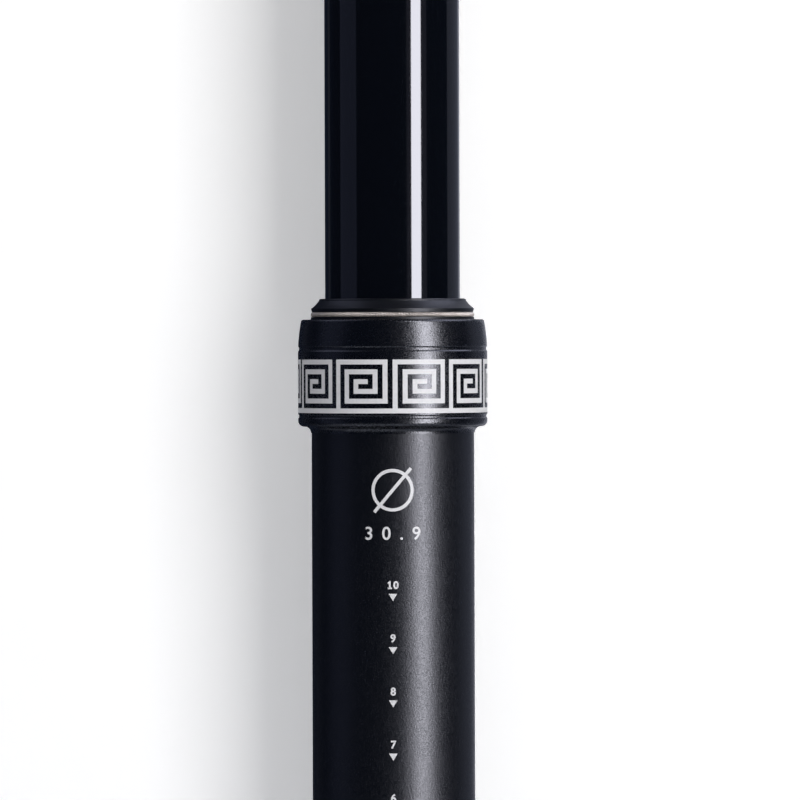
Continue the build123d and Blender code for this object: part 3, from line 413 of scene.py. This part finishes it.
# The diameter sign with the tube's size under it.
size_height_mm = 2.4
size_weight_mm = 0.05
size_spacing = 1.95
size_middle_mm = -18.7
add_print(scale_marks, flat_text(
    "30.9", size_height_mm, size_weight_mm, size_spacing, size_middle_mm))
sign_middle_mm = -10.6
sign_r_mm = 3.7
sign_stroke_mm = 0.62
ring_steps = 72
ring_spots, ring_faces = [], []
for step in range(ring_steps):
    turn = 2 * math.pi * step / ring_steps
    for radius in (sign_r_mm - sign_stroke_mm / 2, sign_r_mm + sign_stroke_mm / 2):
        ring_spots.append((radius * math.cos(turn), sign_middle_mm + radius * math.sin(turn)))
    low, high = 2 * step, 2 * ((step + 1) % ring_steps)
    ring_faces.append((low, low + 1, high + 1, high))
add_print(scale_marks, (flat(ring_spots), ring_faces))
slash_half_mm = 5.4
slash_steps = 16
slash_slant = math.radians(50)
slash_spots, slash_faces = [], []
along = Vector((math.cos(slash_slant), math.sin(slash_slant)))
side = Vector((-math.sin(slash_slant), math.cos(slash_slant)))
for step in range(slash_steps + 1):
    for edge in (-sign_stroke_mm / 2, sign_stroke_mm / 2):
        spot = along * (slash_half_mm * (2 * step / slash_steps - 1)) + side * edge
        slash_spots.append((spot.x, sign_middle_mm + spot.y))
    if step:
        slash_faces.append((2 * step - 2, 2 * step, 2 * step + 1, 2 * step - 1))
add_print(scale_marks, (flat(slash_spots), slash_faces))

# The row of ticks.
ticks_each_side = 14
tick_z_mm = -150.0
tick_pitch_mm = 2.4
tick_height_mm = 2.4
tick_half_mm = 0.25
for tick in range(-ticks_each_side, ticks_each_side + 1):
    left = tick * tick_pitch_mm
    add_print(scale_marks, flat_bar(
        left - tick_half_mm, tick_z_mm, left + tick_half_mm, tick_z_mm + tick_height_mm))
scale_print = shape("scale_print", *scale_marks, smooth=False)
wrap(scale_print, tube_r)
scale_print.data.materials.append(printed_ink)
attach(scale_print, "lower_post")

# Band printed round the collar.
# The same ink: a plain key border of straight strokes, repeated ten times round the collar
# between its two grooves.
collar_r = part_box("collar")[1].x
band_low_mm, band_high_mm = 3.85, 13.95
key_count = 10
key_cells = 12
key_rows = 11
cell_mm = 2 * math.pi * (collar_r + ink_lift) / MM / (key_count * key_cells)
row_mm = (band_high_mm - band_low_mm) / key_rows
# Each stroke's left, low, right and high sides, counted in cells and rows.
strokes = [
    (0, 0, 12, 1), (0, 1, 1, 11), (1, 10, 11, 11), (10, 2, 11, 10), (2, 2, 10, 3), (2, 3, 3, 9),
    (3, 8, 9, 9), (8, 4, 9, 8), (4, 4, 8, 5), (4, 5, 5, 7), (5, 6, 7, 7)]
key_strokes = ([], [])
for left, low, right, high in strokes:
    for column in range(left, right):
        add_print(key_strokes, flat_bar(
            column * cell_mm, band_low_mm + low * row_mm,
            (column + 1) * cell_mm, band_low_mm + high * row_mm))
one_key = shape("one_key", *key_strokes, smooth=False)


def new_tree(name, sockets):
    """A Geometry Nodes tree with these inputs and one geometry output, and its input node."""
    made = bpy.data.node_groups.new(name, "GeometryNodeTree")
    for label, kind in sockets:
        made.interface.new_socket(label, in_out="INPUT", socket_type="NodeSocket" + kind)
    made.interface.new_socket("Geometry", in_out="OUTPUT", socket_type="NodeSocketGeometry")
    return made, put(made, "NodeGroupInput")


def grown(name, tree, values, start=None):
    """Runs a Geometry Nodes tree with these inputs and keeps the result as a plain mesh."""
    held = start or shape(name, [], [])
    held.name = name
    modifier = held.modifiers.new("grow", "NODES")
    modifier.node_group = tree
    for item in tree.interface.items_tree:
        if item.item_type == "SOCKET" and item.in_out == "INPUT" and item.name in values:
            modifier[item.identifier] = values[item.name]
    mesh = final_mesh(held)
    held.modifiers.remove(modifier)
    held.data = mesh
    return held


# Copies of the key in a row, rolled into a ring.
tree, given = new_tree("rolled_border", (
    ("Geometry", "Geometry"), ("Repeats", "Int"), ("Unit", "Float"), ("Radius", "Float"),
    ("Finish", "Material")))
stride = put(tree, "ShaderNodeCombineXYZ", {"X": given.outputs["Unit"]})
stations = put(tree, "GeometryNodeMeshLine", {
    "Count": given.outputs["Repeats"], "Offset": stride.outputs[0]})
copies = put(tree, "GeometryNodeInstanceOnPoints", {
    "Points": stations.outputs[0], "Instance": given.outputs["Geometry"]})
laid_out = put(tree, "GeometryNodeRealizeInstances", {"Geometry": copies.outputs[0]})
spot = put(tree, "GeometryNodeInputPosition")
parts = put(tree, "ShaderNodeSeparateXYZ", {0: spot.outputs[0]})
turn = put(tree, "ShaderNodeMath", {
    0: parts.outputs["X"], 1: given.outputs["Radius"]}, operation="DIVIDE")
sine = put(tree, "ShaderNodeMath", {0: turn.outputs[0]}, operation="SINE")
cosine = put(tree, "ShaderNodeMath", {0: turn.outputs[0]}, operation="COSINE")
inward = put(tree, "ShaderNodeMath", {0: given.outputs["Radius"], 1: -1.0}, operation="MULTIPLY")
across = put(tree, "ShaderNodeMath", {
    0: sine.outputs[0], 1: given.outputs["Radius"]}, operation="MULTIPLY")
back = put(tree, "ShaderNodeMath", {
    0: cosine.outputs[0], 1: inward.outputs[0]}, operation="MULTIPLY")
rolled = put(tree, "ShaderNodeCombineXYZ", {
    "X": across.outputs[0], "Y": back.outputs[0], "Z": parts.outputs["Y"]})
moved = put(tree, "GeometryNodeSetPosition", {
    "Geometry": laid_out.outputs[0], "Position": rolled.outputs[0]})
faced = put(tree, "GeometryNodeSetMaterial", {
    "Geometry": moved.outputs[0], "Material": given.outputs["Finish"]})
put(tree, "NodeGroupOutput", {0: faced.outputs[0]})
band_print = grown("band_print", tree, {
    "Repeats": key_count, "Unit": key_cells * cell_mm * MM, "Radius": collar_r + ink_lift,
    "Finish": printed_ink}, one_key)
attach(band_print, "lower_post")


# Wiper seal and the other rubber pieces.
# Moulded black nitrile, smooth and a little greasy where the tube runs through it: soft
# sheen, fine mould texture and a trace of pale dust.
def moulded_rubber(name, dark, light, roughness, grain_mm):
    """Moulded rubber: fine grain, dusty patches and uneven sheen."""
    finish, tree = begin_finish(name)
    at = place_of(tree)
    grain = put(tree, "ShaderNodeTexNoise", {
        "Vector": at, "Scale": scale_for(grain_mm), "Detail": 3.0})
    dust = put(tree, "ShaderNodeTexNoise", {
        "Vector": at, "Scale": scale_for(5), "Detail": 6.0, "Roughness": 0.7})
    patch = put(tree, "ShaderNodeMapRange", {
        "Value": dust.outputs["Fac"], "From Min": 0.45, "From Max": 0.75})
    colour = put(tree, "ShaderNodeMix", {
        0: patch.outputs[0], 6: tint(dark), 7: tint(light)}, data_type="RGBA")
    gloss = put(tree, "ShaderNodeMapRange", {
        "Value": dust.outputs["Fac"], "To Min": roughness - 0.08, "To Max": roughness + 0.1})
    bump = put(tree, "ShaderNodeBump", {
        "Height": grain.outputs["Fac"], "Strength": 0.6, "Distance": 0.02 * MM})
    rubber = put(tree, "ShaderNodeBsdfPrincipled", {
        "Base Color": colour.outputs[2], "Roughness": gloss.outputs[0],
        "Normal": bump.outputs[0], "IOR": 1.52})
    end_finish(tree, rubber)
    return finish


nitrile = moulded_rubber(
    "moulded_nitrile_rubber", "#040609", "#0A0D13", roughness=0.40, grain_mm=0.18)
dress(nitrile, "wiper_seal", "guide_ring", "rod_seal", "block_ring", "pin_ring")
# Cast dark brown urethane for the bumpers: duller and coarser than the seals.
urethane = moulded_rubber(
    "cast_polyurethane", "#2A2620", "#3A352C", roughness=0.5, grain_mm=0.4)
dress(urethane, "bottom_bumper", "top_out_bumper")

# Garter spring in the seal's groove.
# Hard-drawn steel wire wound into a fine closed coil and joined into a ring, which presses
# the seal's lip on to the stanchion: a bright warm row of tiny dots.
spring_lo, spring_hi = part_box("garter_spring")
coil_outer_r = (spring_hi.z - spring_lo.z) / 2
ring_r = spring_hi.x - coil_outer_r
ring_z = (spring_hi.z + spring_lo.z) / 2
# Fewer and thicker turns than a real coil has, so that they show in the picture.
wire_thickness = 0.22 * MM
wire_sides = 6
turns = 330
points_per_turn = 10
tree, given = new_tree("wound_ring", (
    ("Ring radius", "Float"), ("Coil radius", "Float"), ("Wire radius", "Float"),
    ("Height", "Float"), ("Turns", "Int"), ("Steps", "Int"), ("Finish", "Material")))
count = put(tree, "ShaderNodeMath", {
    0: given.outputs["Turns"], 1: given.outputs["Steps"]}, operation="MULTIPLY")
ring = put(tree, "GeometryNodeCurvePrimitiveCircle", {
    "Resolution": count.outputs[0], "Radius": given.outputs["Ring radius"]})
number = put(tree, "GeometryNodeInputIndex")
part_way = put(tree, "ShaderNodeMath", {
    0: number.outputs[0], 1: given.outputs["Steps"]}, operation="DIVIDE")
angle = put(tree, "ShaderNodeMath", {0: part_way.outputs[0], 1: 2 * math.pi}, operation="MULTIPLY")
cosine = put(tree, "ShaderNodeMath", {0: angle.outputs[0]}, operation="COSINE")
sine = put(tree, "ShaderNodeMath", {0: angle.outputs[0]}, operation="SINE")
place = put(tree, "GeometryNodeInputPosition")
outward = put(tree, "ShaderNodeVectorMath", {0: place.outputs[0]}, operation="NORMALIZE")
reach = put(tree, "ShaderNodeMath", {
    0: cosine.outputs[0], 1: given.outputs["Coil radius"]}, operation="MULTIPLY")
aside = put(tree, "ShaderNodeVectorMath", {
    0: outward.outputs[0], "Scale": reach.outputs[0]}, operation="SCALE")
rise = put(tree, "ShaderNodeMath", {
    0: sine.outputs[0], 1: given.outputs["Coil radius"], 2: given.outputs["Height"]},
    operation="MULTIPLY_ADD")
upward = put(tree, "ShaderNodeCombineXYZ", {"Z": rise.outputs[0]})
offset = put(tree, "ShaderNodeVectorMath", {
    0: aside.outputs[0], 1: upward.outputs[0]}, operation="ADD")
moved = put(tree, "GeometryNodeSetPosition", {
    "Geometry": ring.outputs[0], "Offset": offset.outputs[0]})
section = put(tree, "GeometryNodeCurvePrimitiveCircle", {
    "Resolution": wire_sides, "Radius": given.outputs["Wire radius"]})
wire = put(tree, "GeometryNodeCurveToMesh", {
    "Curve": moved.outputs[0], "Profile Curve": section.outputs[0]})
soft = put(tree, "GeometryNodeSetShadeSmooth", {"Geometry": wire.outputs[0]})
whole = put(tree, "GeometryNodeRealizeInstances", {"Geometry": soft.outputs[0]})
faced = put(tree, "GeometryNodeSetMaterial", {
    "Geometry": whole.outputs[0], "Material": given.outputs["Finish"]})
put(tree, "NodeGroupOutput", {0: faced.outputs[0]})
# Bare drawn wire with a film of grease: a pale warm grey with a soft gleam.
drawn_wire, wire_tree = begin_finish("hard_drawn_spring_wire")
at = place_of(wire_tree)
drawn = put(wire_tree, "ShaderNodeTexNoise", {
    "Vector": at, "Scale": scale_for(0.6), "Detail": 2.0})
shade = put(wire_tree, "ShaderNodeMix", {
    0: drawn.outputs["Fac"], 6: tint("#CAC0B9"), 7: tint("#E8DFD8")}, data_type="RGBA")
end_finish(wire_tree, put(wire_tree, "ShaderNodeBsdfPrincipled", {
    "Base Color": shade.outputs[2], "Metallic": 0.35, "Roughness": 0.42}))
wound_ring = grown("wound_ring", tree, {
    "Ring radius": ring_r, "Coil radius": coil_outer_r - wire_thickness / 2,
    "Wire radius": wire_thickness / 2, "Height": ring_z, "Turns": turns,
    "Steps": points_per_turn, "Finish": drawn_wire})
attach(wound_ring, "lower_post")
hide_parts("garter_spring")

# Stanchion.
# Drawn aluminium tube, ground, polished and hard-anodised black: a mirror-like dark skin
# with only the faintest waviness and fine running marks along its length.
polished, tree = begin_finish("polished_hard_anodised_aluminium")
at = place_of(tree, (1.0, 1.0, 0.08))
draw = put(tree, "ShaderNodeTexNoise", {"Vector": at, "Scale": scale_for(1.2), "Detail": 3.0})
fine = put(tree, "ShaderNodeTexNoise", {"Vector": at, "Scale": scale_for(9), "Detail": 2.0})
colour = put(tree, "ShaderNodeMix", {
    0: fine.outputs["Fac"], 6: tint("#040509"), 7: tint("#06080C")}, data_type="RGBA")
gloss = put(tree, "ShaderNodeMapRange", {
    "Value": draw.outputs["Fac"], "To Min": 0.03, "To Max": 0.09})
bump = put(tree, "ShaderNodeBump", {
    "Height": fine.outputs["Fac"], "Strength": 0.15, "Distance": 0.02 * MM})
end_finish(tree, put(tree, "ShaderNodeBsdfPrincipled", {
    "Base Color": colour.outputs[2], "Roughness": gloss.outputs[0], "Normal": bump.outputs[0],
    "IOR": 1.7}))
dress(polished, "stanchion")

# Bushings.
# Filled bearing polymer on the tube's bore and the stanchion's foot: matt dark brown grey
# with pale filler specks.
filled, tree = begin_finish("filled_bearing_polymer")
at = place_of(tree)
cells = put(tree, "ShaderNodeTexVoronoi", {"Vector": at, "Scale": scale_for(0.5)})
fleck = put(tree, "ShaderNodeMapRange", {
    "Value": cells.outputs["Distance"], "From Min": 0.05, "From Max": 0.35})
colour = put(tree, "ShaderNodeMix", {
    0: fleck.outputs[0], 6: tint("#6A6258"), 7: tint("#35302B")}, data_type="RGBA")
bump = put(tree, "ShaderNodeBump", {
    "Height": cells.outputs["Distance"], "Strength": 0.4, "Distance": 0.01 * MM})
end_finish(tree, put(tree, "ShaderNodeBsdfPrincipled", {
    "Base Color": colour.outputs[2], "Roughness": 0.6, "Normal": bump.outputs[0], "IOR": 1.5}))
dress(filled, "upper_bushing", "lower_bushing", "piston_seal")

# Head and saddle clamp.
# Forged aluminium, machined on the seats, tumbled smooth and anodised black: an even satin
# black with faint orange-peel from the forging.
forged = blasted_anodise(
    "forged_black_anodised_aluminium", "#0A0B0E", "#0F1115",
    roughness=0.40, grain_mm=0.8, depth_mm=0.05)
dress(forged, "head", "lower_clamp", "upper_clamp")


# Turned and machined metal pieces.
# Aluminium, steel and brass straight from the lathe, some of it plated, chromed or dyed:
# fine tool rings round each piece's own axis, gloss that changes by the ring, dull patches.
def turned_metal(name, dark, light, roughness, pitch_mm, depth_mm,
                 metallic=1.0, turned_about=None, across=False):
    """Turned metal with tool rings round an axis.

    The axis is the post's, or that of the piece turned_about, along Z or across in X.
    """
    finish, tree = begin_finish(name)
    lowest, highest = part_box(turned_about) if turned_about else (Vector(), Vector())
    centre = (lowest + highest) / 2
    coordinates = put(tree, "ShaderNodeTexCoord")
    home = put(tree, "ShaderNodeMapping", {
        "Vector": coordinates.outputs["Object"], "Location": (-centre.x, -centre.y, -centre.z)})
    parts = put(tree, "ShaderNodeSeparateXYZ", {0: home.outputs[0]})
    along, aside = ("X", "Z") if across else ("Z", "X")
    level = put(tree, "ShaderNodeCombineXYZ", {
        "X": parts.outputs[aside], "Y": parts.outputs["Y"]})
    out = put(tree, "ShaderNodeVectorMath", {0: level.outputs[0]}, operation="LENGTH")
    cut = put(tree, "ShaderNodeCombineXYZ", {
        "X": out.outputs["Value"], "Y": parts.outputs[along]})
    rings = put(tree, "ShaderNodeTexNoise", {
        "Vector": cut.outputs[0], "Scale": scale_for(pitch_mm), "Detail": 2.0})
    wear = put(tree, "ShaderNodeTexNoise", {
        "Vector": coordinates.outputs["Object"], "Scale": scale_for(3), "Detail": 5.0,
        "Roughness": 0.65})
    colour = put(tree, "ShaderNodeMix", {
        0: wear.outputs["Fac"], 6: tint(dark), 7: tint(light)}, data_type="RGBA")
    gloss = put(tree, "ShaderNodeMapRange", {
        "Value": rings.outputs["Fac"], "From Min": 0.3, "From Max": 0.7,
        "To Min": roughness - 0.08, "To Max": roughness + 0.08})
    bump = put(tree, "ShaderNodeBump", {
        "Height": rings.outputs["Fac"], "Strength": 0.6, "Distance": depth_mm * MM})
    end_finish(tree, put(tree, "ShaderNodeBsdfPrincipled", {
        "Base Color": colour.outputs[2], "Metallic": metallic, "Roughness": gloss.outputs[0],
        "Normal": bump.outputs[0]}))
    return finish


# Turned and dyed black: satin black with fine lathe rings.
turned_black = turned_metal(
    "turned_black_anodised_aluminium", "#07080B", "#0C0E12",
    roughness=0.34, pitch_mm=0.30, depth_mm=0.010, metallic=0.0)
dress(turned_black, "actuator_housing")
# Bare turned aluminium: pale silver with fine lathe rings.
bare_aluminium = turned_metal(
    "turned_bare_aluminium", "#B9BBBE", "#D8DADC",
    roughness=0.32, pitch_mm=0.25, depth_mm=0.008)
dress(bare_aluminium, "cartridge_outer_tube", "cartridge_inner_tube", "cartridge_cap",
      "rod_guide", "valve_block", "piston", "actuator_lever")
for barrel in ("barrel_nut_front", "barrel_nut_rear"):
    barrel_aluminium = turned_metal(
        barrel + "_turned_aluminium", "#B9BBBE", "#D8DADC",
        roughness=0.32, pitch_mm=0.25, depth_mm=0.008, turned_about=barrel, across=True)
    dress(barrel_aluminium, barrel)
# Milled brass: warm yellow with fine cutter marks.
brass = turned_metal(
    "milled_brass", "#A8853E", "#C9A55A", roughness=0.3, pitch_mm=0.3, depth_mm=0.008)
dress(brass, "guide_key_1", "guide_key_2", "guide_key_3")
# Zinc plate: cool mid grey, a little cloudy.
zinc = turned_metal(
    "zinc_plated_steel", "#9A9DA2", "#C2C5C8", roughness=0.35, pitch_mm=0.35, depth_mm=0.008)
dress(zinc, "lever_pin", "piston_nut", "bolt_washer_front", "bolt_washer_rear", "cable_anchor")
# Hard chrome, ground: bright and near a mirror.
chromed = turned_metal(
    "ground_hard_chromed_steel", "#C4C5C8", "#D6D7D9",
    roughness=0.12, pitch_mm=0.15, depth_mm=0.003)
dress(chromed, "piston_rod", "release_pin")
# Black oxide: thin, oily brown black.
oxide = turned_metal(
    "black_oxide_steel", "#1B1A1A", "#2A2828", roughness=0.38, pitch_mm=0.5, depth_mm=0.01)
dress(oxide, "rod_screw", "anchor_screw")

# Clamp bolts.
# Steel with a rolled M5 thread and a thin black oxide coat with a trace of oil: dark brown
# grey, with a bright line on each thread crest above the ear and smooth turned heads below.
thread_pitch_mm = 0.8
thread_depth_mm = 0.30
for bolt in ("clamp_bolt_front", "clamp_bolt_rear"):
    thread_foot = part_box(bolt.replace("clamp_bolt", "bolt_washer"))[1].z
    rolled_thread = turned_metal(
        bolt + "_black_oxide", "#1B1A1A", "#2F2B29",
        roughness=0.34, pitch_mm=0.4, depth_mm=0.008, turned_about=bolt)
    tree = rolled_thread.node_tree
    skin = next(node for node in tree.nodes if node.type == "BSDF_PRINCIPLED")
    height = put(tree, "ShaderNodeSeparateXYZ", {0: place_of(tree)})
    wave = put(tree, "ShaderNodeMath", {
        0: height.outputs["Z"], 1: 2 * math.pi / (thread_pitch_mm * MM)}, operation="MULTIPLY")
    crest = put(tree, "ShaderNodeMath", {0: wave.outputs[0]}, operation="SINE")
    threaded = put(tree, "ShaderNodeMath", {
        0: height.outputs["Z"], 1: thread_foot}, operation="GREATER_THAN")
    profile = put(tree, "ShaderNodeMath", {
        0: crest.outputs[0], 1: threaded.outputs[0]}, operation="MULTIPLY")
    cut = put(tree, "ShaderNodeBump", {
        "Height": profile.outputs[0], "Strength": 1.0, "Distance": thread_depth_mm / 2 * MM,
        "Normal": skin.inputs["Normal"].links[0].from_socket})
    tree.links.new(cut.outputs[0], skin.inputs["Normal"])
    dress(rolled_thread, bolt)
